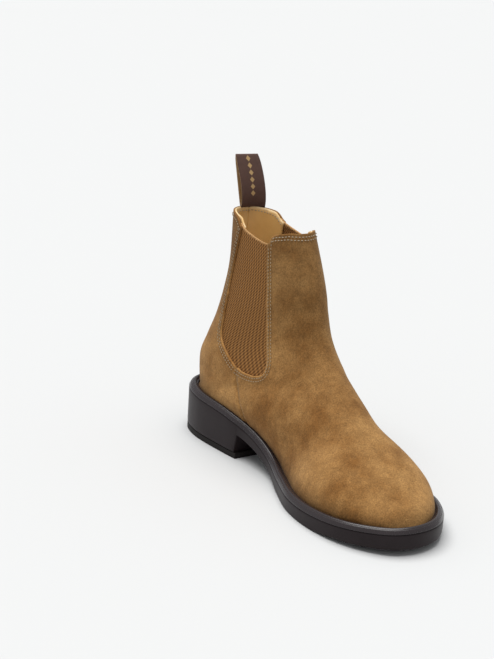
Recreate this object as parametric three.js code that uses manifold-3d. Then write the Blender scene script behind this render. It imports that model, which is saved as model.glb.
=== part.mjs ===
// A men's chelsea boot for the left foot: suede upper in three panels, two ribbed elastic gores,
// a smooth leather lining, a woven pull loop, and a moulded rubber sole with a heel.
// Millimetres, +Z up, toe towards -Y, inner (medial) side towards -X.
import * as THREE from "three";
import { mergeVertices } from "three/addons/utils/BufferGeometryUtils.js";
import Module from "manifold-3d";

// Overall sizes
const SOLE_LENGTH = 302;
const SOLE_WIDTH = 108;
const SEAT_HEIGHT = 41; // top of the welt at the back of the heel
const COLLAR_HEIGHT = 186;

// Sole
const FORE_HEIGHT = 15.2; // top of the welt at the ball of the foot
const TOE_SPRING = 6.4;
const WELT_THICKNESS = 4.2;
const WELT_LEDGE = 6; // how far the welt stands out past the upper
const DRAWN_IN = 1; // how much further in the upper's foot sits than its side at the welt's top
const HEEL_LENGTH = 92;
const TOP_PIECE_THICKNESS = 4.7;

// Layers of the upper, from the outside in
const SUEDE = 1.4;
const STIFFENER = 1.2; // gore, toe puff, heel counter and the loop's sewn ends
const LINING = 1.0;
const CLEARANCE = 0.4; // gap kept between neighbouring pieces
const BED_CLEARANCE = 0.5; // gap over the sole unit's curved top

// Bottom pieces, stacked inside the upper
const FILLER = 2.6;
const INSOLE = 2.5;
const SOCK = 1.2;
const HEEL_PAD = 1.5;
const HEEL_PAD_LENGTH = 70;
const SHANK_LENGTH = 104;
const SHANK_WIDTH = 14;
const SHANK_THICKNESS = 1.4;
const SHANK_START = 62;
const RIVET_DIAMETER = 3;
const NAIL_DIAMETER = 2.2;
const NAIL_HEAD = 4;
const NAIL_LENGTH = 16;
const NAIL_EDGE = 9; // the outer nails' distance in from the lining

// Upper panels
const SEWN_MARGIN = 8; // how far the elastic runs in behind the suede
const PUFF_LENGTH = 46;
const COUNTER_LENGTH = 72;
const COUNTER_HEIGHT = 20;
const SHAFT_LEAN = 15.5; // sideways lean of the shaft's mouth
const INSTEP_LEAN = 12.5;
const SEAM_SHIFT = 5; // the back seam's top, outwards of the mouth's middle: the shaft is twisted

// Pull loop
const LOOP_WIDTH = 19;
const LOOP_HEIGHT = 40;
const LOOP_DEPTH = 12; // front to back, across the open loop
const TAPE = 1;
const LOOP_TAIL = 20; // sewn length between the suede and the lining
const LOOP_TURN = 18; // degrees in plan, following the rim
const LOOP_FORWARD = 3.4; // its foot's place across the rim's curve, ahead of the rim's very back
const LOOP_GAP = 1.2; // tape left free over the rim, where the loop bends

const Y_HEEL = SOLE_LENGTH / 2;
const EDGE = WELT_LEDGE + DRAWN_IN; // the upper's foot, in from the sole's edge
const MIDDLE_DEPTH = SUEDE + CLEARANCE;
const LINING_DEPTH = MIDDLE_DEPTH + STIFFENER + CLEARANCE;
const INNER_DEPTH = LINING_DEPTH + LINING;

const wasm = await Module();
wasm.setup();

// ---- curves of the last, in shares of the sole's length and of the shaft's height ----

// Sole outline: share of length from the heel, share of half the width (inner side negative)
const OUTLINE = [
  [0, -0.03], [0.035, 0.42], [0.115, 0.65], [0.25, 0.66], [0.37, 0.635], [0.497, 0.76],
  [0.63, 0.95], [0.735, 1], [0.835, 0.91], [0.92, 0.66], [0.98, 0.31], [1, -0.09],
  [0.982, -0.47], [0.922, -0.76], [0.842, -0.94], [0.742, -0.99], [0.645, -0.92],
  [0.547, -0.72], [0.45, -0.535], [0.35, -0.53], [0.255, -0.59], [0.12, -0.62], [0.033, -0.45],
];
// Front of the shaft, over the instep, to the toe
const FRONT = [
  [0.3387, 1.055], [0.35, 1.007], [0.417, 0.724], [0.435, 0.6], [0.46, 0.476], [0.509, 0.372],
  [0.589, 0.2725], [0.652, 0.207], [0.745, 0.117], [0.828, 0.045], [0.894, -0.031], [0.947, -0.093],
];
const ANKLE_BEND = 0.509; // where the shaft's rings end and the foot's begin
// Back of the shaft, down to the heel
const BACK = [
  [0.038, 1.055], [0.043, 0.979], [0.066, 0.752], [0.0645, 0.579], [0.0495, 0.407],
  [0.022, 0.255], [0.002, 0.131],
];
// Top edge of the collar: high at the back, dipped across the gore, high again in front
const COLLAR = [
  [-0.2, 0.995], [0, 0.995], [0.1, 0.995], [0.128, 0.984], [0.154, 0.952], [0.215, 0.931],
  [0.277, 0.924], [0.287, 0.962], [0.298, 0.983], [0.321, 0.997], [0.351, 1.007], [0.5, 1.01],
];
// Edges of the gore's window, meeting where the side seam starts
const GORE_BACK = [
  [0.162, 1.1], [0.157, 0.955], [0.152, 0.815], [0.147, 0.669], [0.151, 0.537], [0.1575, 0.415],
  [0.165, 0.344], [0.183, 0.302], [0.218, 0.254], [0.257, 0.2185],
];
const GORE_FRONT = [
  [0.257, 0.2185], [0.29, 0.2115], [0.3205, 0.2145], [0.3434, 0.2245], [0.364, 0.252],
  [0.364, 0.31], [0.3475, 0.4], [0.332, 0.53], [0.3125, 0.688], [0.29, 0.838], [0.2775, 0.927],
  [0.255, 1.1],
];
const SIDE_SEAM = [
  [0.257, 0.2185], [0.2765, 0.129], [0.305, 0.053], [0.325, -0.04], [0.34, -0.3],
];
// Least half widths from the mouth (0) to the heel's corner (0.5) and on to the toe (1), as shares
// of half the sole's width
const WIDTHS = [
  [0, 0.395], [0.175, 0.465], [0.35, 0.535], [0.5, 0.585], [0.6, 0.575], [0.7, 0.575],
  [0.8, 0.575], [0.875, 0.565], [0.95, 0.44], [1, 0],
];
// The welt's drop from the seat to the ball of the foot, 1 to 0
const DROP = [[0, 1], [0.13, 0.91], [0.25, 0.815], [0.365, 0.55], [0.48, 0.11], [0.58, 0], [1, 0]];
// Underside of the sole ahead of the heel: share of length, share of the height of its top
const TREAD = [
  [0.3, 0.7], [0.35, 0.68], [0.4, 0.62], [0.46, 0.44], [0.52, 0.18], [0.575, 0], [0.76, 0],
  [0.84, 0.2], [0.92, 0.26], [1, 0.3],
];

const zAt = (share) => SEAT_HEIGHT + share * (COLLAR_HEIGHT - SEAT_HEIGHT);
const sidePoints = (list) =>
  list.map(([s, h]) => new THREE.Vector2(s * SOLE_LENGTH, zAt(h)));
const clamp = THREE.MathUtils.clamp;

// A smooth curve through knots [x, y].
function through(knots, x) {
  const last = knots.length - 1;
  let i = 0;
  while (i < last - 1 && x > knots[i + 1][0]) i++;
  const slope = (k) => {
    const a = knots[Math.max(0, k - 1)];
    const b = knots[Math.min(last, k + 1)];
    return (b[1] - a[1]) / (b[0] - a[0]);
  };
  const [x0, y0] = knots[i];
  const [x1, y1] = knots[i + 1];
  const h = x1 - x0;
  const t = clamp((x - x0) / h, 0, 1);
  const t2 = t * t;
  const t3 = t2 * t;
  return (
    (2 * t3 - 3 * t2 + 1) * y0 +
    (t3 - 2 * t2 + t) * h * slope(i) +
    (3 * t2 - 2 * t3) * y1 +
    (t3 - t2) * h * slope(i + 1)
  );
}

// Height of the welt's top where it meets the upper, at s from the heel.
function weltTop(s) {
  const a = clamp(s / SOLE_LENGTH, 0, 1);
  const spring = TOE_SPRING * Math.pow(clamp((a - 0.66) / 0.34, 0, 1), 1.6);
  return FORE_HEIGHT + (SEAT_HEIGHT - FORE_HEIGHT) * through(DROP, a) + spring;
}
const footing = (s) => weltTop(s) - WELT_THICKNESS;

// The sole's outline as a closed ring of points (s, x), moved in by a distance.
const outlineCurve = new THREE.CatmullRomCurve3(
  OUTLINE.map(([s, x]) => new THREE.Vector3(s * SOLE_LENGTH, (x * SOLE_WIDTH) / 2, 0)),
  true,
  "catmullrom",
  0.5,
);
function outline(inset, count = 1200) {
  const ring = [];
  for (let i = 0; i < count; i++) {
    const p = outlineCurve.getPoint(i / count);
    const t = outlineCurve.getTangent(i / count);
    ring.push([p.x + t.y * inset, p.y - t.x * inset]);
  }
  return ring;
}

// The outline's two sides as knots [s, x], inner side first.
function sidesOf(ring) {
  const heel = ring.reduce((a, p, i) => (p[0] < ring[a][0] ? i : a), 0);
  const toe = ring.reduce((a, p, i) => (p[0] > ring[a][0] ? i : a), 0);
  const walk = (from, step) => {
    const side = [];
    for (let i = from; i !== toe; i = (i + step + ring.length) % ring.length) {
      side.push(ring[i]);
    }
    side.push(ring[toe]);
    return side.filter((p, i) => !i || p[0] > side[i - 1][0] + 1e-6);
  };
  const outer = walk(heel, 1);
  const inner = walk(heel, -1);
  return { inner, outer, start: ring[heel][0], end: ring[toe][0] };
}
function lookup(side, s) {
  let i = 0;
  while (i < side.length - 2 && s > side[i + 1][0]) i++;
  const [a, b] = [side[i], side[i + 1]];
  return THREE.MathUtils.lerp(a[1], b[1], clamp((s - a[0]) / (b[0] - a[0]), 0, 1));
}

// ---- meshes ----

// Rings of points joined into one closed surface; equal points merge and thin faces drop out.
// `mirrored` splits the faces of a ring's two halves the same way about its middle.
function loft(rings, options = {}) {
  const { capFirst = false, capLast = false, closed = false, mirrored = false } = options;
  const points = rings.flat();
  const n = rings[0].length;
  const faces = [];
  const span = closed ? rings.length : rings.length - 1;
  for (let r = 0; r < span; r++) {
    const a = r * n;
    const b = ((r + 1) % rings.length) * n;
    for (let i = 0; i < n; i++) {
      const j = (i + 1) % n;
      if (mirrored && i < n / 2) {
        faces.push([a + i, b + i, a + j], [b + i, b + j, a + j]);
      } else {
        faces.push([a + i, b + i, b + j], [a + i, b + j, a + j]);
      }
    }
  }
  const fan = (start, turned) => {
    const hub = points.length;
    const ring = points.slice(start, start + n);
    points.push(ring.reduce((s, p) => s.add(p), new THREE.Vector3()).divideScalar(n));
    for (let i = 0; i < n; i++) {
      const j = (i + 1) % n;
      faces.push(turned ? [hub, start + j, start + i] : [hub, start + i, start + j]);
    }
  };
  if (capFirst) fan(0, false);
  if (capLast) fan((rings.length - 1) * n, true);
  return meshOf(points, faces);
}

function volumeOf(geometry, index) {
  const at = (i) => new THREE.Vector3().fromBufferAttribute(geometry.attributes.position, i);
  let sum = 0;
  for (let i = 0; i < index.length; i += 3) {
    sum += at(index[i]).dot(at(index[i + 1]).cross(at(index[i + 2])));
  }
  return sum / 6;
}

// A closed surface from points and faces, turned to face outwards.
function meshOf(points, faces) {
  const raw = new THREE.BufferGeometry();
  const flat = points.flatMap((p) => [p.x, p.y, p.z]);
  raw.setAttribute("position", new THREE.Float32BufferAttribute(flat, 3));
  raw.setIndex(faces.flat());
  const merged = mergeVertices(raw, 1e-3);
  const index = [];
  const all = merged.index.array;
  for (let i = 0; i < all.length; i += 3) {
    const [a, b, c] = [all[i], all[i + 1], all[i + 2]];
    if (a !== b && b !== c && c !== a) index.push(a, b, c);
  }
  merged.setIndex(volumeOf(merged, index) < 0 ? index.reverse() : index);
  return merged;
}

function manifold(geometry) {
  const g = mergeVertices(geometry.clone().deleteAttribute("normal").deleteAttribute("uv"), 1e-3);
  return new wasm.Manifold(
    new wasm.Mesh({
      numProp: 3,
      vertProperties: Float32Array.from(g.attributes.position.array),
      triVerts: Uint32Array.from(g.index.array),
    }),
  );
}

// Side-view shape (s, z) pushed right across the boot.
function across(points, from = -SOLE_WIDTH, to = SOLE_WIDTH) {
  const g = new THREE.ExtrudeGeometry(new THREE.Shape(points), {
    depth: to - from,
    bevelEnabled: false,
  });
  const m = new THREE.Matrix4().set(0, 0, -1, to, -1, 0, 0, Y_HEEL, 0, 1, 0, 0, 0, 0, 0, 1);
  return manifold(g.applyMatrix4(m));
}

const group = new THREE.Group();

function add(name, solid, colour, roughness, metalness = 0) {
  let geometry = solid;
  if (!solid.isBufferGeometry) {
    const m = solid.getMesh();
    const v = new Float32Array(m.numVert * 3);
    for (let i = 0; i < m.numVert; i++) {
      v.set(m.vertProperties.subarray(i * m.numProp, i * m.numProp + 3), i * 3);
    }
    geometry = new THREE.BufferGeometry();
    geometry.setAttribute("position", new THREE.BufferAttribute(v, 3));
    geometry.setIndex(new THREE.BufferAttribute(m.triVerts, 1));
  }
  geometry.computeVertexNormals();
  const material = new THREE.MeshStandardMaterial({ color: colour, roughness, metalness });
  const mesh = new THREE.Mesh(geometry, material);
  mesh.name = name;
  group.add(mesh);
}

// ---- the last: rings from the collar down to the toe, at a depth below the outer surface ----

const SHAFT_RINGS = 10;
const FOOT_RINGS = 20;
const ROUND = 11; // points on each half of a ring

const feather = sidesOf(outline(EDGE));
const tip = new THREE.Vector2(feather.end, footing(feather.end));
const heelCorner = new THREE.Vector2(feather.start, footing(feather.start));
const frontCurve = new THREE.SplineCurve([...sidePoints(FRONT), tip]);
const backCurve = new THREE.SplineCurve([...sidePoints(BACK), heelCorner]);
frontCurve.arcLengthDivisions = 400;
const bendAt = (() => {
  let best = 0;
  for (let i = 0; i <= 400; i++) {
    const gap = Math.abs(frontCurve.getPointAt(i / 400).x - ANKLE_BEND * SOLE_LENGTH);
    if (gap < Math.abs(frontCurve.getPointAt(best).x - ANKLE_BEND * SOLE_LENGTH)) best = i / 400;
  }
  return best;
})();

// A point on a side-view curve, moved towards the foot by a depth.
function onCurve(curve, a, depth, turn) {
  const p = curve.getPointAt(clamp(a, 0, 1));
  const t = curve.getTangentAt(clamp(a, 0, 1));
  return p.add(new THREE.Vector2(t.y * turn * depth, -t.x * turn * depth));
}

// How far along the front curve each ring's top sits.
const TOPS = [
  [0, 0],
  [0.25, bendAt / 2],
  [0.5, bendAt],
  [0.75, bendAt + (1 - bendAt) * 0.3],
  [0.875, bendAt + (1 - bendAt) * 0.58],
  [1, 1],
];

// How square each ring is, along its height and across.
const LONG_POWER = [[0, 2.4], [0.5, 2.4], [0.75, 2.1], [1, 2.1]];
const CROSS_POWER = [[0, 2.1], [0.5, 2.1], [0.75, 2.2], [1, 2.2]];

function ringShape(u, depth, sides) {
  const mid = (s) => (lookup(sides.inner, s) + lookup(sides.outer, s)) / 2;
  const toeX = mid(sides.end);
  const instepX = INSTEP_LEAN * 0.62 + toeX * 0.1;
  const middle = (SHAFT_LEAN + INSTEP_LEAN) / 2;
  const ridge = [[0, SHAFT_LEAN], [0.25, middle], [0.5, INSTEP_LEAN], [0.75, instepX], [1, toeX]];
  const shape = {
    top: onCurve(frontCurve, through(TOPS, u), depth, 1),
    high: through(ridge, u),
    powers: [through(LONG_POWER, u), through(CROSS_POWER, u)],
  };
  const least = (through(WIDTHS, u) * SOLE_WIDTH) / 2 - depth;
  if (u <= 0.5) {
    shape.foot = onCurve(backCurve, u * 2, depth, -1);
    shape.low = THREE.MathUtils.lerp(SHAFT_LEAN, mid(sides.start), u * 2);
    shape.edge = 0;
    shape.half = least;
    return shape;
  }
  const v = u * 2 - 1;
  const s = sides.start + (sides.end - sides.start) * (1 - Math.pow(1 - v * v, 1.7));
  shape.foot = new THREE.Vector2(s, footing(s));
  shape.low = mid(s);
  shape.edge = (lookup(sides.outer, s) - lookup(sides.inner, s)) / 2;
  const wide = u < 1 ? Math.max(least, 1) : 0;
  shape.half = Math.pow(Math.pow(shape.edge, 6) + Math.pow(wide, 6), 1 / 6);
  return shape;
}

// One ring's points: inner side upwards, over the ridge, outer side down.
function ringPoints(u, depth, sides, drop) {
  const { top, foot, half, edge, low, high, powers } = ringShape(u, depth, sides);
  const [p, q] = powers;
  const start = 0.5 * (1 - Math.pow(1 - Math.pow(half ? Math.min(1, edge / half) : 0, q), 1 / p));
  const at = (k, side) => {
    const angle = THREE.MathUtils.lerp(Math.acos(1 - 2 * start), Math.PI, k / ROUND);
    const full = (1 - Math.cos(angle)) / 2;
    const f = (full - start) / (1 - start);
    const bulge = Math.pow(Math.max(0, 1 - Math.pow(Math.abs(2 * full - 1), p)), 1 / q);
    const x = THREE.MathUtils.lerp(low, high, f * f * (3 - 2 * f)) + side * half * bulge;
    const c = foot.clone().lerp(top, f);
    return new THREE.Vector3(x, Y_HEEL - c.x, c.y);
  };
  const ring = [];
  for (let k = 0; k < ROUND; k++) {
    ring.push(at(k, -1));
  }
  for (let k = ROUND; k >= 0; k--) {
    ring.push(at(k, 1));
  }
  const lower = new THREE.Vector3(0, 0, u > 0.5 ? -drop : 0);
  ring.unshift(ring[0].clone().add(lower));
  ring.push(ring[ring.length - 1].clone().add(lower));
  return ring;
}

// The space inside a depth, closed across the collar and the sole; `drop` opens it past both.
function lastSolid(depth, drop = 0) {
  const sides = sidesOf(outline(EDGE + depth));
  const rings = [];
  for (let i = 0; i < SHAFT_RINGS; i++) {
    rings.push(ringPoints((0.5 * i) / SHAFT_RINGS, depth, sides, drop));
  }
  for (let i = 0; i <= FOOT_RINGS; i++) {
    const even = i / FOOT_RINGS;
    const v = THREE.MathUtils.lerp(even, (1 - Math.cos(Math.PI * even)) / 2, 0.6);
    rings.push(ringPoints(0.5 + 0.5 * v, depth, sides, drop));
  }
  if (drop) rings.unshift(rings[0].map((p) => p.clone().add(new THREE.Vector3(0, 0, drop))));
  return manifold(loft(rings, { capFirst: true, mirrored: true }));
}
const shell = (from, to) => lastSolid(from).subtract(lastSolid(to, 8));

const outerShell = shell(0, SUEDE);
const middleShell = shell(MIDDLE_DEPTH, MIDDLE_DEPTH + STIFFENER);
const liningShell = shell(LINING_DEPTH, INNER_DEPTH);

// ---- side-view cutting shapes ----

const smooth = (list, count) => new THREE.SplineCurve(sidePoints(list)).getSpacedPoints(count);
const collarLine = smooth(COLLAR, 36);
const goreBack = smooth(GORE_BACK, 16);
const goreFront = smooth(GORE_FRONT, 20);
const sideSeam = smooth(SIDE_SEAM, 5);
const far = 2 * SOLE_LENGTH;

const shifted = (points, ds, dz = 0) => points.map((p) => new THREE.Vector2(p.x + ds, p.y + dz));
const underCollar = across([
  new THREE.Vector2(-far, -far),
  new THREE.Vector2(far, -far),
  new THREE.Vector2(far, collarLine[36].y),
  ...collarLine.slice().reverse(),
  new THREE.Vector2(-far, collarLine[0].y),
]);
const vampShape = across([
  ...goreFront,
  new THREE.Vector2(far, goreFront[20].y),
  new THREE.Vector2(far, sideSeam[5].y),
  ...sideSeam.slice(1).reverse(),
]);
const quarterShape = across([
  ...shifted(goreBack, -CLEARANCE),
  ...shifted(sideSeam.slice(1), -CLEARANCE),
  new THREE.Vector2(-far, sideSeam[5].y),
  new THREE.Vector2(-far, goreBack[0].y),
]);

// The window grown all round, for the elastic's sewn margin.
function grown(points, by) {
  return points.map((p, i) => {
    const a = points[(i + points.length - 1) % points.length];
    const b = points[(i + 1) % points.length];
    const t = b.clone().sub(a).normalize();
    return new THREE.Vector2(p.x + t.y * by, p.y - t.x * by);
  });
}
const goreWindow = [...goreFront, ...goreBack.slice(0, -1)];
const goreShape = across(grown(goreWindow, SEWN_MARGIN));
const goreReach = across(grown(goreWindow, SEWN_MARGIN + CLEARANCE));

const block = (s0, s1, z0, z1, x0, x1) =>
  across(
    [
      new THREE.Vector2(s0, z0),
      new THREE.Vector2(s1, z0),
      new THREE.Vector2(s1, z1),
      new THREE.Vector2(s0, z1),
    ],
    x0,
    x1,
  );

const byVolume = (solid) => solid.decompose().sort((a, b) => b.volume() - a.volume());
const largest = (solid) => byVolume(solid)[0];
const middleX = (solid) => {
  const { min, max } = solid.boundingBox();
  return min[0] + max[0];
};
// The inner and the outer half of something made twice.
const pair = (solid) =>
  byVolume(solid)
    .slice(0, 2)
    .sort((a, b) => middleX(a) - middleX(b));

const seamTop = SHAFT_LEAN + SEAM_SHIFT;

// A thin slit down the back seam, from the twisted mouth to the middle of the heel.
function backSlit() {
  const low = (feather.inner[0][1] + feather.outer[0][1]) / 2;
  const rings = [];
  for (let k = 0; k <= 6; k++) {
    const x = THREE.MathUtils.lerp(seamTop, low, k / 6);
    const z = backCurve.getPointAt(k / 6).y + (k === 0 ? 20 : 0) - (k === 6 ? 20 : 0);
    const [x0, x1] = [x - CLEARANCE / 2, x + CLEARANCE / 2];
    rings.push([
      new THREE.Vector3(x0, Y_HEEL - 40, z),
      new THREE.Vector3(x1, Y_HEEL - 40, z),
      new THREE.Vector3(x1, Y_HEEL + 20, z),
      new THREE.Vector3(x0, Y_HEEL + 20, z),
    ]);
  }
  return manifold(loft(rings, { capFirst: true, capLast: true }));
}
const slit = backSlit();

// ---- suede, elastic and lining panels ----

const SUEDE_COLOUR = "#8b6b42";
const ELASTIC_COLOUR = "#5d452c";
const LINING_COLOUR = "#c79a62";

function panels() {
  const [quarterInner, quarterOuter] = pair(
    outerShell.intersect(quarterShape).intersect(underCollar).subtract(slit),
  );
  add("vamp", largest(outerShell.intersect(vampShape).intersect(underCollar)), SUEDE_COLOUR, 0.95);
  add("quarter_medial", quarterInner, SUEDE_COLOUR, 0.95);
  add("quarter_lateral", quarterOuter, SUEDE_COLOUR, 0.95);
}

function gores() {
  const [inner, outer] = pair(middleShell.intersect(goreShape).intersect(underCollar));
  add("gore_medial", inner, ELASTIC_COLOUR, 0.9);
  add("gore_lateral", outer, ELASTIC_COLOUR, 0.9);
}

function linings() {
  const [inner, outer] = pair(
    liningShell.intersect(quarterShape).intersect(underCollar).subtract(slit),
  );
  const front = largest(liningShell.intersect(vampShape).intersect(underCollar));
  add("vamp_lining", front, LINING_COLOUR, 0.6);
  add("quarter_lining_medial", inner, LINING_COLOUR, 0.6);
  add("quarter_lining_lateral", outer, LINING_COLOUR, 0.6);
}

function stiffeners() {
  const high = 2 * COLLAR_HEIGHT;
  const toe = block(feather.end - PUFF_LENGTH, far, -high, high);
  const heel = block(-far, COUNTER_LENGTH, -high, SEAT_HEIGHT + COUNTER_HEIGHT);
  add("toe_puff", largest(middleShell.intersect(toe).subtract(liningShell)), "#cbb58e", 0.8);
  add("heel_counter", largest(middleShell.intersect(heel).subtract(goreReach)), "#bfa57a", 0.8);
}

// ---- pull loop: a woven tape folded over, both ends sewn in at the centre back ----

const collarBack = zAt(0.995);
const loopBase = new THREE.Vector2(
  backCurve.getPointAt(0.06).x + MIDDLE_DEPTH + STIFFENER / 2 + LOOP_FORWARD,
  collarBack + LOOP_GAP,
);

// Half the open loop's depth, at shares of its height.
function loopSide() {
  const half = [];
  for (let k = 0; k <= 12; k++) {
    const a = k / 12;
    const open = Math.pow(Math.sin(Math.PI * Math.pow(a, 0.85)), 0.8);
    half.push([Math.max((open * LOOP_DEPTH) / 2 - TAPE / 2, 0), a]);
  }
  return half;
}

// The loop's side view (s, z) pushed across its width and turned in plan.
function tapeSolid(points, width) {
  const y = Y_HEEL - loopBase.x;
  return across(points, -width / 2, width / 2)
    .translate([0, -y, 0])
    .rotate([0, 0, -LOOP_TURN])
    .translate([seamTop, y, 0]);
}

function pullLoop() {
  const side = loopSide();
  const at = (forward, up) => new THREE.Vector2(loopBase.x + forward, loopBase.y + up);
  const up = (a) => 0.7 * TAPE + a * (LOOP_HEIGHT - 1.7 * TAPE);
  const inner = side.slice(1, -1);
  const tape = [
    at(-0.45 * TAPE, 0),
    ...side.map(([d, a]) => at(-d - TAPE, up(a))),
    at(0, LOOP_HEIGHT),
    ...side.map(([d, a]) => at(d + TAPE, up(a))).reverse(),
    at(0.45 * TAPE, 0),
  ];
  const hole = [
    at(0, up(0.06)),
    ...inner.map(([d, a]) => at(-d, up(a))),
    at(0, up(0.97)),
    ...inner.map(([d, a]) => at(d, up(a))).reverse(),
  ];
  const solid = tapeSolid(tape, LOOP_WIDTH).subtract(tapeSolid(hole, LOOP_WIDTH + 2));
  add("pull_loop", solid, "#4b2e26", 0.85);
  const half = LOOP_WIDTH / 2 - 1;
  const [low, high] = [collarBack - LOOP_TAIL, collarBack - CLEARANCE];
  const ends = block(-20, 34, low, high, seamTop - half, seamTop + half);
  add("pull_loop_ends", largest(middleShell.intersect(ends)), "#4b2e26", 0.85);
}

// ---- bottom pieces ----

const STATIONS = 34;

// A sheet shaped like the sole moved in by `inset`, between two heights, from s0 to s1.
function slab(inset, s0, s1, bottom, top, stations = STATIONS) {
  const sides = sidesOf(outline(inset));
  const [from, to] = [Math.max(s0, sides.start), Math.min(s1, sides.end)];
  const rings = [];
  for (let k = 0; k <= stations; k++) {
    const even = k / stations;
    const eased = (1 - Math.cos(Math.PI * even)) / 2;
    const s = THREE.MathUtils.lerp(from, to, eased);
    const tipped = (k === 0 && s0 < sides.start) || (k === stations && s1 > sides.end);
    const x0 = lookup(sides.inner, s);
    const x1 = tipped ? x0 : lookup(sides.outer, s);
    const [z0, z1] = [bottom(s), top(s)];
    rings.push([
      new THREE.Vector3(x0, Y_HEEL - s, z0),
      new THREE.Vector3(x0, Y_HEEL - s, z1),
      new THREE.Vector3(x1, Y_HEEL - s, z1),
      new THREE.Vector3(x1, Y_HEEL - s, z0),
    ]);
  }
  return manifold(loft(rings, { capFirst: s0 >= sides.start, capLast: s1 <= sides.end }));
}

// A strip along the boot's middle line.
function strip(width, s0, s1, bottom, top, stations = 12) {
  const sides = sidesOf(outline(EDGE));
  const rings = [];
  for (let k = 0; k <= stations; k++) {
    const s = THREE.MathUtils.lerp(s0, s1, k / stations);
    const x = (lookup(sides.inner, s) + lookup(sides.outer, s)) / 2;
    const corner = (dx, z) => new THREE.Vector3(x + dx, Y_HEEL - s, z);
    rings.push([
      corner(-width / 2, bottom(s)),
      corner(-width / 2, top(s)),
      corner(width / 2, top(s)),
      corner(width / 2, bottom(s)),
    ]);
  }
  return manifold(loft(rings, { capFirst: true, capLast: true }));
}

// A round pin standing on z0.
function pin(diameter, s, x, z0, z1) {
  const g = new THREE.CylinderGeometry(diameter / 2, diameter / 2, z1 - z0, 12);
  g.rotateX(Math.PI / 2).translate(x, Y_HEEL - s, (z0 + z1) / 2);
  return manifold(g);
}

const above = (h) => (s) => footing(s) + h;
const insoleBottom = FILLER + CLEARANCE;
const insoleTop = insoleBottom + INSOLE;
const sockBottom = (s) => {
  const over = 1 - clamp((s - HEEL_PAD_LENGTH - 4) / 24, 0, 1);
  const ease = over * over * (3 - 2 * over);
  return footing(s) + insoleTop + CLEARANCE + ease * (HEEL_PAD + CLEARANCE);
};

const RIVETS = [SHANK_START + 12, SHANK_START + SHANK_LENGTH - 12];
// Each nail's distance from the heel's back, and its side: -1 inner, 1 outer.
const NAILS = [
  [15, 0],
  [30, -1],
  [30, 1],
  [56, -1],
  [56, 1],
];
const roomX = (s) => (lookup(feather.outer, s) - lookup(feather.inner, s)) / 2 - INNER_DEPTH;
const midX = (s) => (lookup(feather.inner, s) + lookup(feather.outer, s)) / 2;

function bottomPieces() {
  const inside = lastSolid(INNER_DEPTH + 2 * CLEARANCE, 8);
  const wide = EDGE + INNER_DEPTH - 1;
  const end = 2 * SOLE_LENGTH;
  const shankTop = FILLER;
  const shankBottom = FILLER - SHANK_THICKNESS;
  const shankEnd = SHANK_START + SHANK_LENGTH;
  let filler = slab(wide, -end, end, above(0), above(FILLER)).intersect(inside);
  filler = filler.subtract(
    strip(
      SHANK_WIDTH + 2 * CLEARANCE,
      SHANK_START - CLEARANCE,
      shankEnd + CLEARANCE,
      above(shankBottom - CLEARANCE),
      above(FILLER + 1),
    ),
  );
  let insole = slab(wide, -end, end, above(insoleBottom), above(insoleTop)).intersect(inside);
  let shank = strip(SHANK_WIDTH, SHANK_START, shankEnd, above(shankBottom), above(shankTop));
  RIVETS.forEach((s, i) => {
    const [z0, z1] = [footing(s) + shankBottom, footing(s) + insoleTop - CLEARANCE];
    const hole = pin(RIVET_DIAMETER + 2 * CLEARANCE, s, midX(s), z0 - 3, z1 + 3);
    insole = insole.subtract(hole);
    shank = shank.subtract(hole);
    add("shank_rivet_" + (i + 1), pin(RIVET_DIAMETER, s, midX(s), z0, z1), "#b08d4a", 0.4, 0.9);
  });
  const sole = soleUnit();
  let unit = sole;
  NAILS.forEach(([s, side], i) => {
    const x = midX(s) + side * (roomX(s) - NAIL_EDGE);
    const top = footing(s) + insoleTop - CLEARANCE;
    const head = pin(NAIL_HEAD, s, x, top - 1, top);
    const nail = pin(NAIL_DIAMETER, s, x, top - 0.5 - NAIL_LENGTH, top - 0.5).add(head);
    const bore = pin(NAIL_DIAMETER + 2 * CLEARANCE, s, x, top - NAIL_LENGTH - 1, top + 2);
    insole = insole.subtract(pin(NAIL_HEAD + 2 * CLEARANCE, s, x, top - 6, top + 2));
    filler = filler.subtract(bore);
    unit = unit.subtract(bore);
    add("heel_nail_" + (i + 1), nail, "#8f8f92", 0.4, 0.9);
  });
  add("bottom_filler", largest(filler), "#a97f52", 0.95);
  add("insole_board", largest(insole), "#c7ab7c", 0.85);
  add("shank", shank, "#9a9da1", 0.4, 0.9);
  const padBottom = insoleTop + CLEARANCE;
  const pad = slab(wide, -end, HEEL_PAD_LENGTH, above(padBottom), above(padBottom + HEEL_PAD));
  add("heel_pad", largest(pad.intersect(inside)), "#d8cfae", 0.95);
  const sockTop = (s) => sockBottom(s) + SOCK;
  const sock = slab(wide, -end, end, sockBottom, sockTop).intersect(inside);
  add("sock_liner", largest(sock), LINING_COLOUR, 0.6);
  add("sole_unit", unit, "#241d1b", 0.55);
}

function treadAt(s) {
  const from = Math.max(s, HEEL_LENGTH);
  return Math.max(0, through(TREAD, from / SOLE_LENGTH)) * footing(from);
}

function soleUnit() {
  const top = above(-BED_CLEARANCE);
  const end = 2 * SOLE_LENGTH;
  const sole = slab(0, -end, end, treadAt, top, 44);
  const heel = slab(0, -end, HEEL_LENGTH, () => TOP_PIECE_THICKNESS + CLEARANCE, above(-2), 20);
  return sole.add(heel);
}

function topPiece() {
  const piece = slab(0.3, -far, HEEL_LENGTH, () => 0, () => TOP_PIECE_THICKNESS, 20);
  add("heel_top_piece", piece, "#1f1a19", 0.7);
}

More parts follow.
